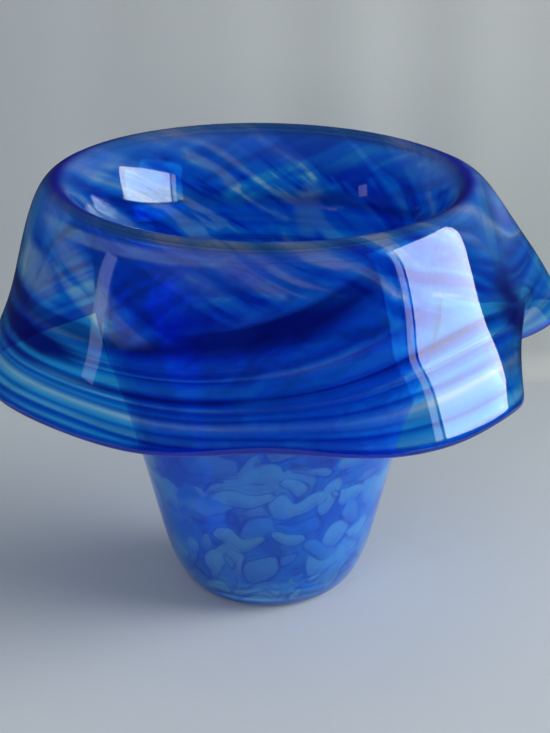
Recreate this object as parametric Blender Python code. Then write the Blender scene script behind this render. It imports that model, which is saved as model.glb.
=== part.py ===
"""Blown glass tulip vase: one piece of glass, a cup on a flat foot whose lip is turned out and
down into a wavy skirt. Metres, +Z up, the origin at the centre of the foot, the front at -Y."""
import bpy
import numpy as np

# Foot and cup, to the middle of the glass
FOOT_RADIUS = 0.0205
HEEL_RADIUS = 0.029
HEEL_HEIGHT = 0.0093
CUP_LOW_RADIUS = 0.035
CUP_LOW_HEIGHT = 0.024
CUP_TOP_RADIUS = 0.0557
CUP_TOP_HEIGHT = 0.102

# The lip, each point from the one before it
THROAT_OUT = 0.0002
THROAT_UP = 0.0195
CREST_OUT = 0.0122
CREST_UP = 0.0205
SHOULDER_OUT = 0.0109
SHOULDER_DOWN = 0.0243
SKIRT_OUT = 0.0056
SKIRT_DOWN = 0.0171
RIM_OUT = 0.0043
RIM_DOWN = 0.0212

# Thickness of the glass
FLOOR = 0.006
CUP_WALL = 0.0036
ROLL_WALL = 0.0032
SKIRT_WALL = 0.003

# The turned lip leans and sits a little off the cup's axis
LEAN = 0.0016
LEAN_AZIMUTH = -155.0
SHIFT_X = -0.002
SHIFT_Y = 0.0028

# Folds of the skirt, as far as they reach out and lift at the rim.
# Azimuth and width are in degrees, from the front towards +X.
# The share is how much of the fold is left halfway up the skirt.
LEFT_LOBE_AZIMUTH = -88.0
LEFT_LOBE_WIDTH = 25.0
LEFT_LOBE_REACH = 0.006
LEFT_LOBE_LIFT = 0.0013
LEFT_LOBE_SHARE = 0.05
LEFT_WAVE_AZIMUTH = -45.0
LEFT_WAVE_WIDTH = 23.0
LEFT_WAVE_REACH = 0.0007
LEFT_WAVE_LIFT = 0.0028
LEFT_WAVE_SHARE = 0.25
FRONT_WAVE_AZIMUTH = 0.0
FRONT_WAVE_WIDTH = 20.5
FRONT_WAVE_REACH = -0.0049
FRONT_WAVE_LIFT = 0.0039
FRONT_WAVE_SHARE = 0.43
FRONT_CORNER_AZIMUTH = 56.0
FRONT_CORNER_WIDTH = 10.0
FRONT_CORNER_REACH = 0.0022
FRONT_CORNER_LIFT = 0.003
FRONT_CORNER_SHARE = 0.47
RIGHT_VALLEY_AZIMUTH = 87.0
RIGHT_VALLEY_WIDTH = 13.0
RIGHT_VALLEY_REACH = -0.015
RIGHT_VALLEY_LIFT = 0.0068
RIGHT_VALLEY_SHARE = 0.0
RIGHT_LOBE_AZIMUTH = 112.0
RIGHT_LOBE_WIDTH = 14.5
RIGHT_LOBE_REACH = 0.0204
RIGHT_LOBE_LIFT = 0.009
RIGHT_LOBE_SHARE = 0.68
RIGHT_WAVE_AZIMUTH = 136.0
RIGHT_WAVE_WIDTH = 17.0
RIGHT_WAVE_REACH = 0.010
RIGHT_WAVE_LIFT = 0.001
RIGHT_WAVE_SHARE = 0.6
BACK_VALLEY_AZIMUTH = 164.0
BACK_VALLEY_WIDTH = 15.0
BACK_VALLEY_REACH = -0.007
BACK_VALLEY_LIFT = 0.003
BACK_VALLEY_SHARE = 0.5
BACK_LOBE_AZIMUTH = -164.0
BACK_LOBE_WIDTH = 20.0
BACK_LOBE_REACH = 0.009
BACK_LOBE_LIFT = -0.002
BACK_LOBE_SHARE = 0.5
SIDE_VALLEY_AZIMUTH = -126.0
SIDE_VALLEY_WIDTH = 15.0
SIDE_VALLEY_REACH = -0.006
SIDE_VALLEY_LIFT = 0.001
SIDE_VALLEY_SHARE = 0.5

# Fineness of the mesh, with the rings between each point of the section and the next
SPAN_RINGS = (4, 3, 2, 2, 2, 5, 5, 3, 3)
SEGMENTS = 80
RIM_STEPS = 4

FOLDS = (
    (LEFT_LOBE_AZIMUTH, LEFT_LOBE_WIDTH, LEFT_LOBE_REACH, LEFT_LOBE_LIFT, LEFT_LOBE_SHARE),
    (LEFT_WAVE_AZIMUTH, LEFT_WAVE_WIDTH, LEFT_WAVE_REACH, LEFT_WAVE_LIFT, LEFT_WAVE_SHARE),
    (FRONT_WAVE_AZIMUTH, FRONT_WAVE_WIDTH, FRONT_WAVE_REACH, FRONT_WAVE_LIFT, FRONT_WAVE_SHARE),
    (FRONT_CORNER_AZIMUTH, FRONT_CORNER_WIDTH, FRONT_CORNER_REACH, FRONT_CORNER_LIFT,
     FRONT_CORNER_SHARE),
    (RIGHT_VALLEY_AZIMUTH, RIGHT_VALLEY_WIDTH, RIGHT_VALLEY_REACH, RIGHT_VALLEY_LIFT,
     RIGHT_VALLEY_SHARE),
    (RIGHT_LOBE_AZIMUTH, RIGHT_LOBE_WIDTH, RIGHT_LOBE_REACH, RIGHT_LOBE_LIFT, RIGHT_LOBE_SHARE),
    (RIGHT_WAVE_AZIMUTH, RIGHT_WAVE_WIDTH, RIGHT_WAVE_REACH, RIGHT_WAVE_LIFT, RIGHT_WAVE_SHARE),
    (BACK_VALLEY_AZIMUTH, BACK_VALLEY_WIDTH, BACK_VALLEY_REACH, BACK_VALLEY_LIFT,
     BACK_VALLEY_SHARE),
    (BACK_LOBE_AZIMUTH, BACK_LOBE_WIDTH, BACK_LOBE_REACH, BACK_LOBE_LIFT, BACK_LOBE_SHARE),
    (SIDE_VALLEY_AZIMUTH, SIDE_VALLEY_WIDTH, SIDE_VALLEY_REACH, SIDE_VALLEY_LIFT,
     SIDE_VALLEY_SHARE),
)


def profile():
    """The turned section: radius, height and thickness of the glass at each named point."""
    middle_radius = (CUP_LOW_RADIUS + CUP_TOP_RADIUS) / 2
    middle_height = (CUP_LOW_HEIGHT + CUP_TOP_HEIGHT) / 2
    throat_radius = CUP_TOP_RADIUS + THROAT_OUT
    throat_height = CUP_TOP_HEIGHT + THROAT_UP
    crest_radius = throat_radius + CREST_OUT
    crest_height = throat_height + CREST_UP
    shoulder_radius = crest_radius + SHOULDER_OUT
    shoulder_height = crest_height - SHOULDER_DOWN
    skirt_radius = shoulder_radius + SKIRT_OUT
    skirt_height = shoulder_height - SKIRT_DOWN
    rim_radius = skirt_radius + RIM_OUT
    rim_height = skirt_height - RIM_DOWN
    return np.array((
        (FOOT_RADIUS, FLOOR / 2, FLOOR),
        (HEEL_RADIUS, HEEL_HEIGHT, (FLOOR + CUP_WALL) / 2),
        (CUP_LOW_RADIUS, CUP_LOW_HEIGHT, CUP_WALL),
        (middle_radius, middle_height, CUP_WALL),
        (CUP_TOP_RADIUS, CUP_TOP_HEIGHT, CUP_WALL),
        (throat_radius, throat_height, ROLL_WALL),
        (crest_radius, crest_height, ROLL_WALL),
        (shoulder_radius, shoulder_height, SKIRT_WALL),
        (skirt_radius, skirt_height, SKIRT_WALL),
        (rim_radius, rim_height, SKIRT_WALL),
    ))


def sections(azimuth):
    """The section at every azimuth, with the lean, the shift and the folds of the lip."""
    rows = np.repeat(profile()[:, None, :], len(azimuth), axis=1)
    lean = LEAN * np.cos(azimuth - np.radians(LEAN_AZIMUTH))
    shift = SHIFT_X * np.sin(azimuth) - SHIFT_Y * np.cos(azimuth)
    for row, share in ((5, 0.5), (6, 1.0), (7, 1.0), (8, 0.5)):
        rows[row, :, 0] += share * shift
        rows[row, :, 1] += share * lean
    for centre, width, reach, lift, share in FOLDS:
        away = np.degrees(azimuth) - centre
        away = (away + 180.0) % 360.0 - 180.0
        bump = np.exp(-(away / width) ** 2)
        for row, part in ((7, share ** 2), (8, share), (9, 1.0)):
            rows[row, :, 0] += part * reach * bump
            rows[row, :, 1] += part * lift * bump
    return rows


def spline_slopes(knots, rows, first):
    """Slopes of the cubic spline through the rows, flat where it starts and free where it ends."""
    count = len(knots)
    gaps = np.diff(knots)
    rises = np.diff(rows, axis=0)
    system = np.zeros((count, count))
    sides = np.zeros_like(rows)
    system[0, 0] = 1.0
    sides[0] = first
    for i in range(1, count - 1):
        system[i, i - 1] = 1.0 / gaps[i - 1]
        system[i, i] = 2.0 / gaps[i - 1] + 2.0 / gaps[i]
        system[i, i + 1] = 1.0 / gaps[i]
        sides[i] = 3.0 * (rises[i - 1] / gaps[i - 1] ** 2 + rises[i] / gaps[i] ** 2)
    system[-1, -2] = 1.0
    system[-1, -1] = 2.0
    sides[-1] = 3.0 * rises[-1] / gaps[-1]
    flat = np.linalg.solve(system, sides.reshape(count, -1))
    return flat.reshape(rows.shape)


def glass_middle(azimuth):
    """Radius, height and thickness, and how they change along the section, on a grid."""
    rows = sections(azimuth)
    chords = np.linalg.norm(np.diff(rows[:, :, :2], axis=0), axis=2).mean(axis=1)
    knots = np.concatenate(((0.0,), np.cumsum(np.sqrt(chords))))
    first = np.zeros_like(rows[0])
    first[:, 0] = np.sqrt(chords[0])
    slopes = spline_slopes(knots, rows, first)
    left = np.repeat(np.arange(len(SPAN_RINGS)), SPAN_RINGS)
    part = np.concatenate([np.arange(rings) / rings for rings in SPAN_RINGS])
    left = np.append(left, len(SPAN_RINGS) - 1)
    part = np.append(part, 1.0)[:, None, None]
    gap = np.diff(knots)[left][:, None, None]
    start = rows[left]
    end = rows[left + 1]
    leave = slopes[left] * gap
    arrive = slopes[left + 1] * gap
    cubic = 2.0 * (start - end) + leave + arrive
    square = 3.0 * (end - start) - 2.0 * leave - arrive
    values = start + part * (leave + part * (square + part * cubic))
    change = leave + part * (2.0 * square + part * 3.0 * cubic)
    return values, change


def place(radius, height, azimuth):
    """Points from radius, height and azimuth, the front at -Y and azimuth growing towards +X."""
    return np.stack((radius * np.sin(azimuth), -radius * np.cos(azimuth), height), axis=-1)


def unit(vectors):
    return vectors / np.linalg.norm(vectors, axis=-1, keepdims=True)


def glass_rings():
    """Closed loops of points: up the lining, over the crest, round the rim and back underneath."""
    azimuth = np.arange(SEGMENTS) * 2.0 * np.pi / SEGMENTS
    values, change = glass_middle(azimuth)
    middle = place(values[:, :, 0], values[:, :, 1], azimuth)
    along = unit(place(change[:, :, 0], change[:, :, 1], azimuth))
    around = np.roll(middle, -1, axis=1) - np.roll(middle, 1, axis=1)
    under = unit(np.cross(around, along))
    half = values[:, :, 2:] / 2
    lining = middle - under * half
    outside = middle + under * half
    turns = np.linspace(0.0, np.pi, RIM_STEPS + 1)[1:-1, None, None]
    rim = middle[-1] + half[-1] * (along[-1] * np.sin(turns) - under[-1] * np.cos(turns))
    return np.concatenate((lining, rim, outside[::-1]))


def glass_mesh(rings):
    """A closed mesh from the loops, with the flat floor and the flat foot filled."""
    count = len(rings)
    faces = []
    for ring in range(count - 1):
        for spot in range(SEGMENTS):
            following = (spot + 1) % SEGMENTS
            low = ring * SEGMENTS
            high = low + SEGMENTS
            faces.append((low + spot, high + spot, high + following, low + following))
    faces.append(tuple(range(SEGMENTS)))
    faces.append(tuple(reversed(range((count - 1) * SEGMENTS, count * SEGMENTS))))
    mesh = bpy.data.meshes.new("vase")
    mesh.from_pydata(rings.reshape(-1, 3).tolist(), [], faces)
    mesh.shade_smooth()
    mesh.set_sharp_from_angle(angle=np.radians(40.0))
    return mesh


def glass_material():
    material = bpy.data.materials.new("blue glass")
    material.use_nodes = True
    shader = material.node_tree.nodes["Principled BSDF"]
    shader.inputs["Base Color"].default_value = (0.02, 0.12, 0.6, 1.0)
    shader.inputs["Metallic"].default_value = 0.0
    shader.inputs["Roughness"].default_value = 0.04
    shader.inputs["IOR"].default_value = 1.5
    material.diffuse_color = (0.02, 0.12, 0.6, 1.0)
    return material


def main():
    for old in list(bpy.data.objects):
        bpy.data.objects.remove(old)
    vase = bpy.data.objects.new("vase", glass_mesh(glass_rings()))
    vase.data.materials.append(glass_material())
    bpy.context.scene.collection.objects.link(vase)


main()
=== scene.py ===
"""Blown glass tulip vase in mottled cobalt glass, seen from a little above, on a pale cove."""
import math

import bpy
import numpy as np
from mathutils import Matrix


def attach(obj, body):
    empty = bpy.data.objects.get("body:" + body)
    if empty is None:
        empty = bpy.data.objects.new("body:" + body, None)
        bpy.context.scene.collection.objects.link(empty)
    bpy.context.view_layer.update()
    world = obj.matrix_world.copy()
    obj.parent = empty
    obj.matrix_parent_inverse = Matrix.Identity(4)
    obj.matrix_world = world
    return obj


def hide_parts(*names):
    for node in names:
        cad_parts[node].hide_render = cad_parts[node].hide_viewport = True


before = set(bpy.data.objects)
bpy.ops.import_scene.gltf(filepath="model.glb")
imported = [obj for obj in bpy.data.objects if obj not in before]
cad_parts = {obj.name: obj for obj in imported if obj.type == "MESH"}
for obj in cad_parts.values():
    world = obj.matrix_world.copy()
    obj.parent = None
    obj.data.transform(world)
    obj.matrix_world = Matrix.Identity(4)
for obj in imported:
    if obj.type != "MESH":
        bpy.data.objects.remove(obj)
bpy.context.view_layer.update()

# Section of the glass in metres: radius, height and thickness at each named point
SECTION = {
    "foot edge": (0.0205, 0.003, 0.006),
    "heel": (0.029, 0.0093, 0.0048),
    "cup low": (0.035, 0.024, 0.0036),
    "cup middle": (0.04535, 0.063, 0.0036),
    "cup top": (0.0557, 0.102, 0.0036),
    "throat": (0.0559, 0.1215, 0.0032),
    "crest": (0.0681, 0.142, 0.0032),
    "shoulder": (0.079, 0.1177, 0.003),
    "skirt": (0.0846, 0.1006, 0.003),
    "rim": (0.0889, 0.0794, 0.003),
}
POINTS = list(SECTION)

# The turned lip leans and sits a little off the cup's axis: how far, in metres, and the share of
# it at each named point
LEAN = 0.0016
LEAN_AZIMUTH = -155.0
SHIFT_X = -0.002
SHIFT_Y = 0.0028
LEAN_SHARES = {"throat": 0.5, "crest": 1.0, "shoulder": 1.0, "skirt": 0.5}

# Folds of the skirt: azimuth and width in degrees from the front towards +X, how far the fold
# reaches out and lifts at the rim in metres, and the share of it left halfway up the skirt
FOLDS = {
    "left lobe": (-88.0, 25.0, 0.006, 0.0013, 0.05),
    "left wave": (-45.0, 23.0, 0.0007, 0.0028, 0.25),
    "front wave": (0.0, 20.5, -0.0049, 0.0039, 0.43),
    "front corner": (56.0, 10.0, 0.0022, 0.003, 0.47),
    "right valley": (87.0, 13.0, -0.015, 0.0068, 0.0),
    "right lobe": (112.0, 14.5, 0.0204, 0.009, 0.68),
    "right wave": (136.0, 17.0, 0.010, 0.001, 0.6),
    "back valley": (164.0, 15.0, -0.007, 0.003, 0.5),
    "back lobe": (-164.0, 20.0, 0.009, -0.002, 0.5),
    "side valley": (-126.0, 15.0, -0.006, 0.001, 0.5),
}

# Fineness of the glass surface
SPAN_RINGS = (12, 8, 12, 12, 10, 20, 20, 10, 14)
SEGMENTS = 360
RIM_STEPS = 8
CAP_RINGS = 6

# The faces swell in and out a little, as blown glass does: how far and how far apart, in metres,
# and between which shares of the section the swelling grows
SWELL = 0.00003
SWELL_SPACING = 0.045
SWELL_START = 0.15
SWELL_FULL = 0.40
SWELL_SEED = 5

# Hills are a sum of sine waves: how many, between how few and how many of each fit in the
# spacing, and what brings the sum to between about -1 and 1
HILL_WAVES = 10
HILL_RATES = (0.6, 1.4)
HILL_SCALE = 3.2

# Colours of the glass: what one wall of it lets through
INK = (0.0, 0.016, 0.30, 1.0)
NAVY = (0.0, 0.10, 0.72, 1.0)
DEEP = (0.0, 0.19, 0.88, 1.0)
COBALT = (0.003, 0.28, 0.98, 1.0)
BLUE = (0.03, 0.44, 1.0, 1.0)
SKY = (0.15, 0.60, 1.0, 1.0)
PALE = (0.55, 0.80, 1.0, 1.0)
LILAC = (0.30, 0.48, 1.0, 1.0)
# Painted shade: the dark line along the crest's outline as the camera sees it
PAINTED_CREST_SHADE = (0.012, 0.012, 0.36, 1.0)
AZURE = (0.12, 0.55, 1.0, 1.0)

# Tint of what the glass mirrors
SHEEN = (0.94, 0.96, 1.0, 1.0)

# Streaks along the rim: how far above it each lies, in millimetres, and its colour
STREAKS = (
    (0.0, BLUE), (1.0, NAVY), (2.2, NAVY), (3.0, SKY), (4.4, BLUE), (5.2, NAVY), (6.2, BLUE),
    (7.8, SKY), (8.8, PALE), (9.6, SKY), (10.6, NAVY), (11.6, BLUE), (12.2, COBALT), (13.2, NAVY),
    (13.9, SKY), (14.6, COBALT), (15.6, NAVY), (16.4, INK), (17.0, NAVY), (18.2, BLUE),
    (20.0, BLUE), (21.0, COBALT), (22.4, NAVY), (23.0, BLUE), (23.8, NAVY), (27.0, COBALT),
    (29.0, NAVY), (32.0, INK), (36.0, INK), (38.0, COBALT), (40.0, BLUE),
)

# Length of the section from the middle of the floor to the rim, in millimetres
SECTION_LENGTH = 239.0

# The streaks spread towards the front corner of the skirt: how much more than elsewhere, and
# where and how wide in degrees
FAN = 0.9
FAN_AZIMUTH = 55.0
FAN_WIDTH = 38.0

# Patches paler or darker than the rest: azimuth and width in degrees, place along the section
# from the middle of the floor (0) to the rim (1) and length along it, and how much paler. The left
# band is painted shade and the left collar a painted reflection
PATCHES_AND_PAINTED_LIGHT = {
    "left shoulder": (-68.0, 16.0, 0.82, 0.035, 0.9),
    # Painted reflection: a pale band below the mouth's outline on the left, where a light above the
    # camera is mirrored
    "left collar painted reflection": (-40.0, 32.0, 0.752, 0.009, 1.1),
    "bowl left": (-160.0, 10.0, 0.50, 0.05, 0.8),
    "bowl right": (165.0, 7.0, 0.60, 0.05, 0.7),
    "front": (15.0, 40.0, 0.845, 0.022, -0.5),
    "side": (-35.0, 25.0, 0.80, 0.025, -0.4),
    "right flank": (76.0, 14.0, 0.90, 0.12, -0.7),
    # Painted shade: the skirt's left is darker where the floor seen through it lies in the vase's
    # shadow
    "left band painted shade": (-64.0, 30.0, 0.902, 0.022, -0.85),
}

# Painted sheen: lilac on the roll's sides, where they mirror the bright room, and a little milky,
# in the same terms
PAINTED_SHEEN = {
    "right": (108.0, 24.0, 0.79, 0.06, 1.0),
    "left": (-112.0, 24.0, 0.76, 0.05, 0.7),
}

# Where the glass changes its pattern, as shares of the section: the pale foot ends at the heel
# and fades above it, the cup's chips end below the throat, a dark line of painted shade runs
# along the roll's crest, turned a little towards the mouth at the front so that it follows the
# outline seen from the camera, and the streaks start on the skirt
HEEL = 0.100
HEEL_FADE = 0.022
CUP_END = 0.50
CREST = 0.724
CREST_TURN = 0.010
CREST_WIDTH = 0.013
STREAKS_START = 0.838

# Between which shares of the section one part gives way to the next
FLOOR_BORDER = (0.06, 0.10)
THROAT_BORDER = (CUP_END - 0.03, CUP_END + 0.04)
CLEAR_BORDER = (CUP_END - 0.05, CUP_END + 0.05)
ROLL_START = (CREST - 0.06, CREST - 0.02)
ROLL_END = (CREST + 0.02, CREST + 0.08)
SKIRT_BORDER = (STREAKS_START - 0.03, STREAKS_START + 0.02)
# The rim's dark line is painted shade, where the view runs along the glass's edge
RIM_SHADE_BORDER = (0.992, 0.997)

# How far the streaks, and the borders between patterns, wander along the section, with the
# spacing in metres and the seed of the hills that they follow
STREAKS_WANDER = (0.012, 0.09, 21)
ZONES_WANDER = (0.035, 0.055, 31)

# Radius in metres of the cylinder on which most patterns lie, of the one that draws out the
# streaks, and the length of the one on which they fray
PATTERN_RADIUS = 0.055
STREAKS_RADIUS = 0.016
FRAY_LENGTH = 0.4

# Spacing in metres and seed of the hills that vary the cup's ground and the streaks, and of those
# that fray the streaks
CUP_TONE = (0.016, 91)
STREAKS_TONE = (0.036, 95)
FRAY_TONE = (0.05, 41)

# Patterns laid round the vase: twist in radians from floor to rim, radius and length in metres of
# the cylinder that each lies on, and the spacing, reach and seed of the hills that shake it
LAID = {
    "chips": (0.6, 0.021, 0.239, 0.020, 0.0018, 51),
    "flakes": (-3.0, 0.034, 0.16, 0.026, 0.0025, 61),
    "smears": (-6.0, 0.05, 0.045, 0.03, 0.0015, 71),
}

# Layers of chips in the cup, from the lowest up: size in metres and how well each covers. Their
# radii are shares of that size, and a line round each chip is darker
CHIP_LAYERS = {"flakes": (0.0125, 0.85), "chips": (0.0085, 0.95)}
CHIP_RADII = (0.32, 0.75)
CHIP_EDGE = 0.7

# Noise in the smears and in the threads of the streaks: detail, scale and roughness, how the
# threads are stretched, and how far they lift the streaks, in millimetres
NOISE_DETAIL = 3.0
SMEAR_SCALE = 84.0
SMEAR_ROUGHNESS = 0.6
THREAD_SCALE = 34.0
THREAD_ROUGHNESS = 0.7
THREAD_STRETCH = (0.6, 0.6, 4.0)
THREAD_LIFT = 3.4

# The loose streaks' tone is a level, plus shares of the thread and of the band that runs along
# them. They cover the others between the least and the most, as fray rises from low to high
LOOSE_LEVEL = 0.25
LOOSE_THREAD = 0.5
LOOSE_BAND = 0.06
LOOSE_COVER = (-0.5, 0.7, 0.05, 0.65)

# Tones at which one colour gives way to the next, in the throat and in the loose streaks
THROAT_STEPS = ((0.43, 0.47, COBALT), (0.49, 0.53, BLUE), (0.56, 0.61, PALE))
LOOSE_STEPS = ((0.38, 0.46, NAVY), (0.44, 0.50, COBALT), (0.50, 0.56, BLUE), (0.56, 0.64, PALE))

# How well the roll's milky colour, the painted lilac sheen and the even colour of the floor cover
# the glass, and how much of the smears the patches' borders take up
ROLL_COVER = 0.6
PAINTED_SHEEN_COVER = 0.7
FLOOR_COVER = 0.7
PATCH_WEAR = 0.6

# How clear the glass is in the cup and in the lip, and how much the crest's painted shade and the
# painted sheen take from that
CUP_CLEAR = 0.74
LIP_CLEAR = 0.95
CREST_MILK = 0.5
PAINTED_SHEEN_MILK = 0.25

# Index of refraction, and how rough the smears make the surface at most
GLASS_IOR = 1.5
GLASS_ROUGHNESS = 0.03


def bell(azimuth, centre, width):
    """A bell curve round the centre: exp(-(angle / width)^2), with centre and width in degrees."""
    away = (np.degrees(azimuth) - centre + 180.0) % 360.0 - 180.0
    return np.exp(-(away / width) ** 2)


def sections(azimuth):
    """The section's points at every azimuth. Lean and shift follow the cosine of the azimuth and
    fade towards the cup and the rim; each fold is a bell curve."""
    rows = np.repeat(np.array(list(SECTION.values()))[:, None, :], len(azimuth), axis=1)
    lean = LEAN * np.cos(azimuth - math.radians(LEAN_AZIMUTH))
    shift = SHIFT_X * np.sin(azimuth) - SHIFT_Y * np.cos(azimuth)
    for name, share in LEAN_SHARES.items():
        row = POINTS.index(name)
        rows[row, :, 0] += share * shift
        rows[row, :, 1] += share * lean
    for centre, width, reach, lift, share in FOLDS.values():
        bump = bell(azimuth, centre, width)
        for name, part in (("shoulder", share ** 2), ("skirt", share), ("rim", 1.0)):
            row = POINTS.index(name)
            rows[row, :, 0] += part * reach * bump
            rows[row, :, 1] += part * lift * bump
    return rows


def spline_slopes(knots, rows, first):
    """Slopes of the cubic spline through the rows, given at the start and with no bend left at
    the end: a tridiagonal system in the spans between the knots."""
    count = len(knots)
    gaps = np.diff(knots)
    rises = np.diff(rows, axis=0)
    system = np.zeros((count, count))
    sides = np.zeros_like(rows)
    system[0, 0] = 1.0
    sides[0] = first
    inner = np.arange(1, count - 1)
    system[inner, inner - 1] = 1.0 / gaps[:-1]
    system[inner, inner] = 2.0 / gaps[:-1] + 2.0 / gaps[1:]
    system[inner, inner + 1] = 1.0 / gaps[1:]
    wide = gaps[:, None, None]
    sides[1:-1] = 3.0 * (rises[:-1] / wide[:-1] ** 2 + rises[1:] / wide[1:] ** 2)
    system[-1, -2:] = (1.0, 2.0)
    sides[-1] = 3.0 * rises[-1] / gaps[-1]
    return np.linalg.solve(system, sides.reshape(count, -1)).reshape(rows.shape)


def glass_middle(azimuth):
    """Radius, height and thickness of the middle of the glass on the grid of rings and azimuths,
    how they change along the section, and how far along it each ring lies from 0 to 1."""
    rows = sections(azimuth)
    chords = np.linalg.norm(np.diff(rows[:, :, :2], axis=0), axis=2).mean(axis=1)
    knots = np.concatenate(((0.0,), np.cumsum(np.sqrt(chords))))
    first = np.zeros_like(rows[0])
    first[:, 0] = math.sqrt(chords[0])
    slopes = spline_slopes(knots, rows, first)
    span = np.append(np.repeat(np.arange(len(SPAN_RINGS)), SPAN_RINGS), len(SPAN_RINGS) - 1)
    part = np.append(np.concatenate([np.arange(n) / n for n in SPAN_RINGS]), 1.0)
    part = part[:, None, None]
    gap = np.diff(knots)[span][:, None, None]
    start, end = rows[span], rows[span + 1]
    leave, arrive = slopes[span] * gap, slopes[span + 1] * gap
    cubic = 2.0 * (start - end) + leave + arrive
    square = 3.0 * (end - start) - 2.0 * leave - arrive
    values = start + part * (leave + part * (square + part * cubic))
    change = leave + part * (2.0 * square + part * 3.0 * cubic)
    mean = values[:, :, :2].mean(axis=1)
    steps = np.linalg.norm(np.diff(mean, axis=0), axis=1)
    length = np.concatenate(((mean[0, 0],), mean[0, 0] + np.cumsum(steps)))
    return values, change, length / length[-1]


def place(radius, height, azimuth):
    """Points from radius, height and azimuth: x = r sin a, y = -r cos a, z = height."""
    return np.stack((radius * np.sin(azimuth), -radius * np.cos(azimuth), height), axis=-1)


def unit(vectors):
    """Vectors scaled to length one."""
    return vectors / np.linalg.norm(vectors, axis=-1, keepdims=True)


def hills(points, spacing, seed):
    """Smooth rises and falls between about -1 and 1, spacing metres apart: a sum of sine waves
    that run in directions drawn once from the seed."""
    draw = np.random.default_rng(seed)
    ways = unit(draw.normal(size=(HILL_WAVES, 3)))
    ways = ways * draw.uniform(*HILL_RATES, size=(HILL_WAVES, 1)) * 2.0 * np.pi / spacing
    starts = draw.uniform(0.0, 2.0 * np.pi, size=HILL_WAVES)
    return np.sin(points @ ways.T + starts).sum(axis=-1) / HILL_SCALE


def wander(ground, amount, spacing, seed):
    """How far each point of the ground moves along the section: hills times the amount."""
    return amount * hills(ground, spacing, seed)


def evenly(azimuth, along):
    """A place on a plain cylinder about as wide as the cup, where a pattern is hardly stretched:
    (R cos a, R sin a, L s), with L the length of the section and s the way along it."""
    return np.stack((PATTERN_RADIUS * np.cos(azimuth), PATTERN_RADIUS * np.sin(azimuth),
                     0.001 * SECTION_LENGTH * along), axis=-1)


def wrapped(azimuth, along, twist, radius, length):
    """A place on a cylinder that is turned by twist as the section runs on. A small radius draws
    a pattern out sideways, a small length draws it out along the section."""
    turned = azimuth + twist * along
    return np.stack((radius * np.cos(turned), radius * np.sin(turned), length * along), axis=-1)


def shaken(points, ground, spacing, amount, seed):
    """The points moved by three sets of hills, up to about amount each way."""
    away = [hills(ground, spacing, seed + step) for step in range(3)]
    return points + amount * np.stack(away, axis=-1)


def glass_rings():
    """Loops of points and how far along the section each lies: from the middle of the bowl's floor
    up the lining, over the crest, round the rim as a half circle, and back under to the foot.
    Both faces lie half the thickness from the middle, along the normal, and swell a little."""
    azimuth = np.arange(SEGMENTS) * 2.0 * np.pi / SEGMENTS
    values, change, along = glass_middle(azimuth)
    middle = place(values[:, :, 0], values[:, :, 1], azimuth)
    forward = unit(place(change[:, :, 0], change[:, :, 1], azimuth))
    around = np.roll(middle, -1, axis=1) - np.roll(middle, 1, axis=1)
    under = unit(np.cross(around, forward))
    grown = np.clip((along - SWELL_START) / (SWELL_FULL - SWELL_START), 0.0, 1.0)
    swell = SWELL * hills(middle, SWELL_SPACING, SWELL_SEED) * grown[:, None]
    half = values[:, :, 2:] / 2 + swell[:, :, None]
    lining = middle - under * half
    outside = middle + under * half
    turns = np.linspace(0.0, np.pi, RIM_STEPS + 1)[1:-1, None, None]
    rim = middle[-1] + half[-1] * (forward[-1] * np.sin(turns) - under[-1] * np.cos(turns))
    shares = np.arange(1, CAP_RINGS)[:, None, None] / CAP_RINGS
    flat, upright = np.array((1.0, 1.0, 0.0)), np.array((0.0, 0.0, 1.0))
    floor = lining[0] * flat * shares + lining[0] * upright
    foot = (outside[0] * flat * shares + outside[0] * upright)[::-1]
    rings = np.concatenate((floor, lining, rim, outside[::-1], foot))
    inner = shares[:, 0, 0] * along[0]
    along = np.concatenate((inner, along, np.ones(len(rim)), along[::-1], inner[::-1]))
    return rings, azimuth, along


def glass_faces(count):
    """Quads between the loops, round the vase, and a fan of triangles at each pole."""
    ring, spot = np.meshgrid(np.arange(count - 1), np.arange(SEGMENTS), indexing="ij")
    following = (spot + 1) % SEGMENTS
    low, high = ring * SEGMENTS, (ring + 1) * SEGMENTS
    quads = np.stack((low + spot, high + spot, high + following, low + following), axis=-1)
    spots = np.arange(SEGMENTS)
    nexts = (spots + 1) % SEGMENTS
    last = (count - 1) * SEGMENTS
    pole = np.full(SEGMENTS, count * SEGMENTS)
    floor_fan = np.stack((pole, spots, nexts), axis=-1)
    foot_fan = np.stack((pole + 1, last + nexts, last + spots), axis=-1)
    return quads.reshape(-1, 4).tolist() + floor_fan.tolist() + foot_fan.tolist()


def patches(azimuth, along, places):
    """The sum of the named patches' amounts, each a bell round its azimuth and its place along
    the section, kept between -1 and 1."""
    tone = np.zeros(np.broadcast(azimuth, along).shape)
    for centre, width, middle, length, amount in places.values():
        across = np.exp(-((along - middle) / length) ** 2)
        tone += amount * bell(azimuth, centre, width) * across
    return np.clip(tone, -1.0, 1.0)


def crest_shade_line(azimuth, along):
    """How much each point belongs to the dark line of painted shade on the roll's crest: a bell
    across the line, which lies a little towards the mouth at the front and away from it at the
    back, along the outline that the camera sees."""
    middle = CREST - CREST_TURN * np.cos(azimuth)
    return np.exp(-((along - middle) / CREST_WIDTH) ** 2)


def fan_out(azimuth):
    """How far the streaks spread at each azimuth: 1, and up to 1 + FAN round the front corner."""
    return 1.0 + FAN * bell(azimuth, FAN_AZIMUTH, FAN_WIDTH)


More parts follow.
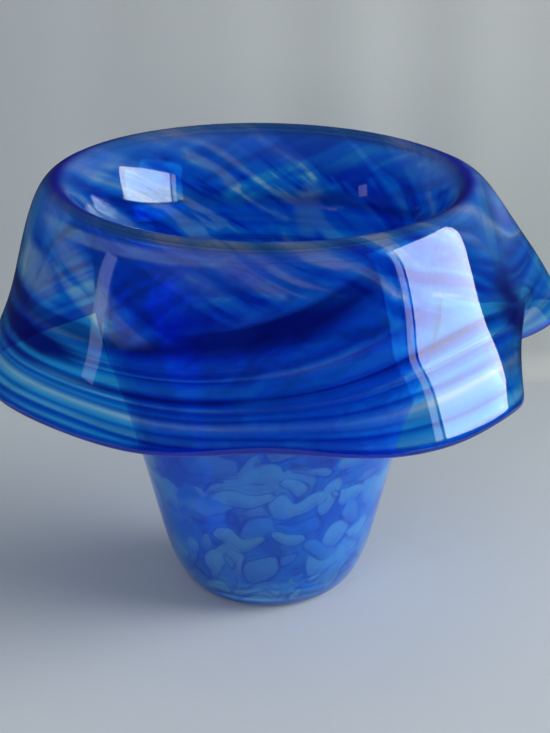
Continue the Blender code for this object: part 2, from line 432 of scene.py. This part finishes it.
def pattern_places(azimuth, along):
    """Where each point of the glass lies in each of its patterns, by the pattern's name. The foot
    is 1 on the outside below the heel and fades to 0 just above it."""
    outside = np.arange(len(along)) > len(along) // 2
    foot = outside * np.clip((HEEL + HEEL_FADE - along) / HEEL_FADE, 0.0, 1.0)
    azimuth, along = np.broadcast_arrays(azimuth[None, :], along[:, None])
    foot = np.broadcast_to(foot[:, None], along.shape)
    ground = evenly(azimuth, along)
    drawn = (along - 1.0 + wander(ground, *STREAKS_WANDER)) / fan_out(azimuth)
    zone = along + wander(ground, *ZONES_WANDER)
    spread = wrapped(azimuth, drawn, 0.0, STREAKS_RADIUS, 1.0)
    frayed = wrapped(azimuth, drawn, 0.0, PATTERN_RADIUS, FRAY_LENGTH)
    tones = (hills(ground, *CUP_TONE), hills(spread, *STREAKS_TONE), hills(frayed, *FRAY_TONE))
    marks = (patches(azimuth, along, PATCHES_AND_PAINTED_LIGHT), patches(azimuth, along, PAINTED_SHEEN),
             crest_shade_line(azimuth, along))
    places = {"tones": np.stack(tones, axis=-1)}
    for name, (twist, radius, length, spacing, amount, seed) in LAID.items():
        laid = wrapped(azimuth, along, twist, radius, length)
        places[name] = shaken(laid, ground, spacing, amount, seed)
    places["streaks"] = spread
    places["zones"] = np.stack((along, zone, foot), axis=-1)
    places["patches"] = np.stack(marks, axis=-1)
    return places


def glass_mesh():
    """The closed surface of the glass, with its patterns' places kept as attributes."""
    rings, azimuth, along = glass_rings()
    poles = np.array(((0.0, 0.0, rings[0, 0, 2]), (0.0, 0.0, rings[-1, 0, 2])))
    points = np.concatenate((rings.reshape(-1, 3), poles))
    mesh = bpy.data.meshes.new("glass")
    mesh.from_pydata(points.tolist(), [], glass_faces(len(rings)))
    for name, places in pattern_places(azimuth, along).items():
        ends = np.stack((places[0].mean(axis=0), places[-1].mean(axis=0)))
        values = np.concatenate((places.reshape(-1, 3), ends))
        layer = mesh.attributes.new(name, "FLOAT_VECTOR", "POINT")
        layer.data.foreach_set("vector", values.reshape(-1))
    mesh.shade_smooth()
    mesh.update()
    return mesh


class Nodes:
    """The nodes of a material or a world, added one call at a time. Inputs may be numbers, colours
    or sockets."""

    def __init__(self, owner):
        owner.use_nodes = True
        self.tree = owner.node_tree

    def put(self, socket, value):
        if isinstance(value, bpy.types.NodeSocket):
            self.tree.links.new(value, socket)
        else:
            socket.default_value = value

    def add(self, kind, inputs, **settings):
        node = self.tree.nodes.new(kind)
        for name, value in settings.items():
            setattr(node, name, value)
        for key, value in inputs.items():
            self.put(node.inputs[key], value)
        return node

    def split(self, vector):
        """The three coordinates of a vector."""
        return self.add("ShaderNodeSeparateXYZ", {0: vector}).outputs

    def math(self, operation, *values):
        return self.add("ShaderNodeMath", dict(enumerate(values)), operation=operation).outputs[0]

    def noise(self, vector, scale, roughness):
        inputs = {"Vector": vector, "Scale": scale, "Detail": NOISE_DETAIL, "Roughness": roughness}
        return self.add("ShaderNodeTexNoise", inputs).outputs["Fac"]

    def ramp(self, value, low, high, start=0.0, end=1.0):
        """A smooth step from start at low to end at high."""
        inputs = {"Value": value, "From Min": low, "From Max": high, "To Min": start, "To Max": end}
        node = self.add("ShaderNodeMapRange", inputs, interpolation_type="SMOOTHSTEP")
        return node.outputs[0]

    def drop(self, value, low, high):
        """A smooth step from 1 at low down to 0 at high."""
        return self.ramp(value, low, high, 1.0, 0.0)

    def mix(self, share, first, second):
        """A number between two others, by the second one's share."""
        inputs = {"Factor": share, "A": first, "B": second}
        return self.add("ShaderNodeMix", inputs).outputs["Result"]

    def blend(self, share, first, second):
        """A colour between two others, by the second one's share."""
        node = self.add("ShaderNodeMix", {"Factor": share}, data_type="RGBA")
        for name, value in (("A", first), ("B", second)):
            self.put(next(s for s in node.inputs if s.name == name and s.type == "RGBA"), value)
        return next(s for s in node.outputs if s.type == "RGBA")


def new_material(name):
    """A new material with its nodes and its shader."""
    material = bpy.data.materials.new(name)
    n = Nodes(material)
    return material, n, n.tree.nodes["Principled BSDF"]


def colour(red, green, blue):
    """A linear colour from eight bit values."""
    parts = [value / 255 for value in (red, green, blue)]
    parts = [p / 12.92 if p <= 0.04045 else ((p + 0.055) / 1.055) ** 2.4 for p in parts]
    return (*parts, 1.0)


def lies(n, name):
    """The places of a pattern, as kept on the glass."""
    return n.add("ShaderNodeAttribute", {}, attribute_name=name).outputs["Vector"]


def scaled(n, point, factors):
    """A point with each of its coordinates multiplied."""
    return n.add("ShaderNodeVectorMath", {0: point, 1: factors}, operation="MULTIPLY").outputs[0]


def stepped(n, value, first, steps):
    """The first colour, which gives way to each of the next as the value rises from the step's
    low to its high end."""
    glass = first
    for low, high, tint in steps:
        glass = n.blend(n.ramp(value, low, high), glass, tint)
    return glass


def chips(n, point, size):
    """Round chips, one to a cell of the given size, each with its own tone from 0 to 1 and its own
    radius. Crisp at the upper edge, they fade out downwards; the last value is the thin line
    around them."""
    cell = n.add("ShaderNodeTexVoronoi", {"Vector": point, "Scale": 1.0 / size})
    lots = n.add("ShaderNodeSeparateColor", {0: cell.outputs["Color"]}).outputs
    low, high = CHIP_RADII
    radius = n.math("ADD", n.math("MULTIPLY", lots[0], high - low), low)
    inside = n.math("SUBTRACT", radius, cell.outputs["Distance"])
    cover = n.ramp(inside, -0.01, 0.04)
    edge = n.math("MULTIPLY", n.ramp(inside, -0.07, -0.01), n.drop(inside, 0.0, 0.05))
    offset = n.add("ShaderNodeVectorMath", {0: point, 1: cell.outputs["Position"]},
                   operation="SUBTRACT")
    height = n.split(offset.outputs[0])[2]
    fade = n.ramp(height, -0.55 * size, 0.15 * size, 0.25, 1.0)
    return n.math("MULTIPLY", cover, fade), lots[1], edge


def cup_colour(n, ground):
    """Two layers of chips on a mottled ground: large ones that lean near the throat, and smaller
    ones drawn out sideways on top."""
    cup = n.blend(n.ramp(ground, -0.6, 0.6), DEEP, COBALT)
    for name, (size, share) in CHIP_LAYERS.items():
        cover, tone, edge = chips(n, lies(n, name), size)
        tint = n.blend(n.ramp(tone, 0.1, 0.9), COBALT, AZURE)
        cup = n.blend(n.math("MULTIPLY", cover, share), cup, tint)
        cup = n.blend(n.math("MULTIPLY", edge, CHIP_EDGE), cup, NAVY)
    return cup


def streak_colours(n, height):
    """The colours of the streaks at a height above the rim, in millimetres."""
    top = STREAKS[-1][0]
    node = n.add("ShaderNodeValToRGB", {0: n.math("DIVIDE", height, top)})
    stops = node.color_ramp.elements
    while len(stops) < len(STREAKS):
        stops.new(1.0)
    for stop, (level, tint) in zip(stops, STREAKS):
        stop.position = level / top
        stop.color = tint
    return node.outputs[0]


def skirt_colour(n, band, fray):
    """Streaks along the rim that fan out towards the front corner. Noise lifts and lowers them,
    and loose ones show where they fray."""
    streaks = lies(n, "streaks")
    thread = n.noise(scaled(n, streaks, THREAD_STRETCH), THREAD_SCALE, THREAD_ROUGHNESS)
    tone = n.math("ADD", n.math("MULTIPLY", band, LOOSE_BAND),
                  n.math("ADD", n.math("MULTIPLY", thread, LOOSE_THREAD), LOOSE_LEVEL))
    loose = stepped(n, tone, INK, LOOSE_STEPS)
    lift = n.math("MULTIPLY", n.math("SUBTRACT", thread, 0.5), THREAD_LIFT)
    height = n.math("ADD", n.math("MULTIPLY", n.split(streaks)[2], -SECTION_LENGTH), lift)
    return n.blend(n.ramp(fray, *LOOSE_COVER), streak_colours(n, height), loose)


def glass_material():
    """Clear glass with colour melted in: rounded chips in the cup, broad smears in the throat,
    a paler, milky roll, and streaks drawn out along the rim on the skirt. Painted shade on the
    crest, the rim and the skirt's left, a painted reflection and a painted sheen are colour too."""
    material, n, shader = new_material("mottled cobalt glass")
    along, zone, foot = n.split(lies(n, "zones"))
    ground, band, fray = n.split(lies(n, "tones"))
    patch, painted_sheen, crest = n.split(lies(n, "patches"))
    smear = n.noise(lies(n, "smears"), SMEAR_SCALE, SMEAR_ROUGHNESS)

    # Cup, throat, roll and skirt flow into each other along a wavy line
    throat = stepped(n, smear, NAVY, THROAT_STEPS)
    glass = n.blend(n.ramp(zone, *THROAT_BORDER), cup_colour(n, ground), throat)
    roll = n.blend(n.ramp(smear, 0.40, 0.60), BLUE, LILAC)
    on_roll = n.math("MULTIPLY", n.ramp(zone, *ROLL_START), n.drop(zone, *ROLL_END))
    glass = n.blend(n.math("MULTIPLY", on_roll, ROLL_COVER), glass, roll)
    glass = n.blend(n.ramp(zone, *SKIRT_BORDER), glass, skirt_colour(n, band, fray))

    # Paler and darker patches with smeared borders, among them painted shade and a painted
    # reflection, and the painted lilac sheen
    worn = n.math("MULTIPLY", smear, PATCH_WEAR)
    # Painted reflection: the paler patches include the left collar's band
    glass = n.blend(n.ramp(n.math("ADD", patch, worn), 0.55, 0.95), glass, PALE)
    # Painted shade: the darker patches include the left band, the vase's shadow seen through the
    # skirt
    glass = n.blend(n.ramp(n.math("SUBTRACT", worn, patch), 0.6, 1.0), glass, INK)
    # Painted sheen: lilac where the roll's sides mirror the bright room
    glass = n.blend(n.math("MULTIPLY", painted_sheen, PAINTED_SHEEN_COVER), glass, LILAC)

    # Even colour in the bowl's floor, a dark line round a pale foot, and dark lines of painted
    # shade on the rim and the crest, where the view runs along the glass
    glass = n.blend(n.ramp(along, *FLOOR_BORDER, FLOOR_COVER, 0.0), glass, COBALT)
    line = n.math("MULTIPLY", n.ramp(foot, 0.15, 0.35), n.drop(foot, 0.60, 0.90))
    glass = n.blend(line, glass, NAVY)
    glass = n.blend(n.ramp(foot, 0.80, 0.98), glass, SKY)
    # Painted shade: a dark line all round the rim, where the view runs along the glass
    glass = n.blend(n.ramp(along, *RIM_SHADE_BORDER), glass, NAVY)
    # Painted shade: a dark line on the crest, along the outline the camera sees, where the view
    # grazes the glass
    glass = n.blend(crest, glass, PAINTED_CREST_SHADE)
    n.put(shader.inputs["Base Color"], glass)

    # The cup is a little milky, and so are the crest's painted shade and the painted lilac sheen
    clear = n.ramp(zone, *CLEAR_BORDER, CUP_CLEAR, LIP_CLEAR)
    milk = n.math("ADD", n.math("MULTIPLY", crest, CREST_MILK), n.math("MULTIPLY", painted_sheen, PAINTED_SHEEN_MILK))
    n.put(shader.inputs["Transmission Weight"], n.math("SUBTRACT", clear, milk))
    n.put(shader.inputs["IOR"], GLASS_IOR)
    n.put(shader.inputs["Specular Tint"], SHEEN)
    n.put(shader.inputs["Roughness"], n.ramp(smear, 0.3, 0.8, 0.0, GLASS_ROUGHNESS))
    return material


def make_vase():
    """The fine surface of the glass, in place of the plain solid."""
    vase = bpy.data.objects.new("vase_glass", glass_mesh())
    vase.data.materials.append(glass_material())
    bpy.context.scene.collection.objects.link(vase)
    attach(vase, "root")
    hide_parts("vase")


# The cove that the vase stands in
WALL_Y = 0.20
COVE_RADIUS = 0.012
COVE_LEFT = -0.55
COVE_RIGHT = 0.55
COVE_FRONT = -0.40
COVE_TOP = 1.5

# The wall's cloth: how far apart and how deep its upright folds are, how much they drift with the
# height, and the height from which they are at their full depth
CLOTH_SPACING = 0.045
CLOTH_DEPTH = 0.0006
CLOTH_DRIFT = 0.06
CLOTH_FREE = 0.05
CLOTH_SEED = 81

# Fineness of the wall: points in its bend, rows above the bend, and columns
BEND_POINTS = 13
WALL_ROWS = 5
WALL_COLUMNS = 441

# Tints of the floor and of the wall, whose tints paint light and shade
FLOOR_TINT = colour(184, 192, 199)
# Painted light: the wall's right side, towards the window
WALL_WINDOW_LIT_TINT = colour(184, 190, 189)
# Painted shade: the wall's left side, where the window's light falls off
WALL_PAINTED_SHADE_TINT = colour(168, 175, 180)
# Painted shade in the recesses of the wall's folds
WALL_FOLD_SHADE_TINT = colour(160, 165, 166)
CLOTH_ROUGHNESS = 0.75


def sheet(name, points):
    """A smooth sheet through a grid of points, rows by columns, that faces up and to the front."""
    rows, columns = points.shape[:2]
    row, column = np.meshgrid(np.arange(rows - 1), np.arange(columns - 1), indexing="ij")
    spot = row * columns + column
    faces = np.stack((spot, spot + 1, spot + columns + 1, spot + columns), axis=-1)
    mesh = bpy.data.meshes.new(name)
    mesh.from_pydata(points.reshape(-1, 3).tolist(), [], faces.reshape(-1, 4).tolist())
    mesh.shade_smooth()
    return mesh


def floor_mesh():
    """The flat floor, from the front edge to the foot of the wall."""
    y, x = np.meshgrid((COVE_FRONT, WALL_Y - COVE_RADIUS), (COVE_LEFT, COVE_RIGHT), indexing="ij")
    return sheet("floor", np.stack((x, y, np.zeros_like(x)), axis=-1))


def wall_mesh():
    """Cloth that rises from the floor in a quarter circle and hangs in faint upright folds:
    y = wall + depth * hills(x, drift * z), with the folds growing from the floor up."""
    turns = np.linspace(0.0, np.pi / 2, BEND_POINTS)
    heights = np.linspace(CLOTH_FREE, COVE_TOP, WALL_ROWS)
    y = np.append(WALL_Y - COVE_RADIUS + COVE_RADIUS * np.sin(turns), np.full(WALL_ROWS, WALL_Y))
    z = np.append(COVE_RADIUS - COVE_RADIUS * np.cos(turns), heights)
    x, z = np.meshgrid(np.linspace(COVE_LEFT, COVE_RIGHT, WALL_COLUMNS), z)
    folds = hills(np.stack((x, 0.0 * x, CLOTH_DRIFT * z), axis=-1), CLOTH_SPACING, CLOTH_SEED)
    y = y[:, None] + CLOTH_DEPTH * folds * np.clip(z / CLOTH_FREE, 0.0, 1.0)
    mesh = sheet("wall", np.stack((x, y, z), axis=-1))
    layer = mesh.attributes.new("folds", "FLOAT", "POINT")
    layer.data.foreach_set("value", folds.reshape(-1))
    return mesh


def cloth_material(name):
    """Pale matt cloth. From behind and from below, the view passes through it."""
    material, n, shader = new_material(name)
    n.put(shader.inputs["Roughness"], CLOTH_ROUGHNESS)
    behind = n.add("ShaderNodeNewGeometry", {}).outputs["Backfacing"]
    through = n.add("ShaderNodeBsdfTransparent", {}).outputs[0]
    cloth = n.add("ShaderNodeMixShader", {0: behind, 1: shader.outputs[0], 2: through})
    n.put(n.tree.nodes["Material Output"].inputs["Surface"], cloth.outputs[0])
    return material, n, shader


def floor_material():
    """The same tint all over."""
    material, n, shader = cloth_material("pale floor")
    n.put(shader.inputs["Base Color"], FLOOR_TINT)
    return material


def wall_material():
    """Warmer and painted lighter on the right, towards the window, cooler and painted darker on the
    left, and painted darker in the folds.
    """
    material, n, shader = cloth_material("pale wall")
    x = n.split(n.add("ShaderNodeTexCoord", {}).outputs["Object"])[0]
    # Painted light and shade: lighter on the right, towards the window, darker on the left
    wall = n.blend(n.ramp(x, 0.1, -0.2), WALL_WINDOW_LIT_TINT, WALL_PAINTED_SHADE_TINT)
    folds = n.add("ShaderNodeAttribute", {}, attribute_name="folds").outputs["Fac"]
    # Painted shade: darker where the folds sink back
    wall = n.blend(n.ramp(folds, -0.8, 1.0, 0.0, 0.12), wall, WALL_FOLD_SHADE_TINT)
    n.put(shader.inputs["Base Color"], wall)
    return material


def make_cove():
    """Floor and wall. The glass doesn't mirror the wall, only the floor."""
    for mesh, material in ((floor_mesh(), floor_material()), (wall_mesh(), wall_material())):
        mesh.materials.append(material)
        part = bpy.data.objects.new(mesh.name, mesh)
        part.visible_glossy = mesh.name == "floor"
        bpy.context.scene.collection.objects.link(part)


# Panes of daylight: middle, width, height and radiance. The window stands on the right, with a
# dim side pane past its upright bar, and a small one stands on the left. The glow lights the cove
# and the glass from the right as well, but isn't mirrored in the glass
PANES = {
    "window": ((1.8, 0.085, 0.61), 1.41, 1.12, 6.1),
    "window_side": ((1.8, -0.72, 0.61), 0.12, 1.12, 2.6),
    "window_left": ((-1.2, -0.32, 0.38), 0.16, 0.30, 1.0),
    "glow": ((1.8, -0.45, 0.95), 1.20, 1.30, 4.6),
}
WINDOW_COLOUR = (1.0, 0.99, 0.98)

# A soft fill from the camera's side, for the cove and the glass's milky chips
FILL_PLACE = (-0.35, -1.6, 0.75)
FILL_AIM_HEIGHT = 0.08
FILL_SIZE = 1.2
FILL_RADIANCE = 1.8

# Daylight all round: its colour, how strong it lights, how strong it mirrors low down and at the
# top, from which slope it grows, and how strong the camera sees it past the cove, also through the
# glass
SKY_COLOUR = (1.0, 0.99, 0.97, 1.0)
SKY_STRENGTH = 0.34
MIRROR_LOW = 0.02
MIRROR_TOP = 0.15
MIRROR_FROM = 0.3
BEYOND_STRENGTH = 0.42


def make_window(name, middle, width, height, radiance):
    """A pane of daylight beside the vase: a rectangular lamp that stands upright and faces it."""
    lamp = bpy.data.lights.new(name, "AREA")
    lamp.shape = "RECTANGLE"
    lamp.size = height
    lamp.size_y = width
    lamp.energy = 4.0 * radiance * width * height
    lamp.color = WINDOW_COLOUR
    pane = bpy.data.objects.new(name, lamp)
    pane.location = middle
    pane.rotation_euler = (0.0, math.copysign(math.pi / 2, middle[0]), 0.0)
    pane.visible_glossy = name != "glow"
    bpy.context.scene.collection.objects.link(pane)


def make_fill():
    """A square lamp aimed at the vase that casts light and isn't mirrored in the glass."""
    lamp = bpy.data.lights.new("fill", "AREA")
    lamp.shape = "SQUARE"
    lamp.size = FILL_SIZE
    lamp.energy = 4.0 * FILL_RADIANCE * FILL_SIZE ** 2
    fill = bpy.data.objects.new("fill", lamp)
    fill.location = FILL_PLACE
    away = math.hypot(FILL_PLACE[0], FILL_PLACE[1])
    fill.rotation_euler = (math.atan2(away, FILL_PLACE[2] - FILL_AIM_HEIGHT), 0.0,
                           math.atan2(FILL_PLACE[0], -FILL_PLACE[1]))
    fill.visible_glossy = False
    fill.visible_transmission = False
    bpy.context.scene.collection.objects.link(fill)


def make_world():
    """Daylight, by the kind of ray that meets it."""
    world = bpy.data.worlds.new("daylight")
    n = Nodes(world)
    slope = n.split(n.add("ShaderNodeTexCoord", {}).outputs["Generated"])[2]
    rays = n.add("ShaderNodeLightPath", {}).outputs
    mirrored = n.ramp(slope, MIRROR_FROM, 1.0, MIRROR_LOW, MIRROR_TOP)
    level = n.mix(rays["Is Glossy Ray"], SKY_STRENGTH, mirrored)
    seen = n.math("MAXIMUM", rays["Is Camera Ray"], rays["Is Transmission Ray"])
    shade = n.tree.nodes["Background"]
    n.put(shade.inputs["Color"], SKY_COLOUR)
    n.put(shade.inputs["Strength"], n.mix(seen, level, BEYOND_STRENGTH))
    bpy.context.scene.world = world


def make_light():
    """The panes of daylight, the fill and the world."""
    for name, pane in PANES.items():
        make_window(name, *pane)
    make_fill()
    make_world()


# The photograph's frame and the view on it
FRAME_WIDTH = 550
FOCAL_PIXELS = 2072.0
SENSOR_WIDTH = 36.0
NEAREST = 0.01
DISTANCE = 0.700
PITCH = math.radians(20.5)
AIM = (0.0023, 0.0, 0.0784)


def make_camera():
    """Looks along +Y, down by the pitch, at a point on the vase's axis."""
    lens = bpy.data.cameras.new("camera")
    lens.sensor_fit = "HORIZONTAL"
    lens.sensor_width = SENSOR_WIDTH
    lens.lens = SENSOR_WIDTH * FOCAL_PIXELS / FRAME_WIDTH
    lens.clip_start = NEAREST
    camera = bpy.data.objects.new("camera", lens)
    camera.location = (AIM[0], AIM[1] - DISTANCE * math.cos(PITCH),
                       AIM[2] + DISTANCE * math.sin(PITCH))
    camera.rotation_euler = (math.pi / 2 - PITCH, 0.0, 0.0)
    bpy.context.scene.collection.objects.link(camera)
    bpy.context.scene.camera = camera


def main():
    bpy.context.scene.view_settings.view_transform = "Standard"
    make_vase()
    make_cove()
    make_light()
    make_camera()


main()
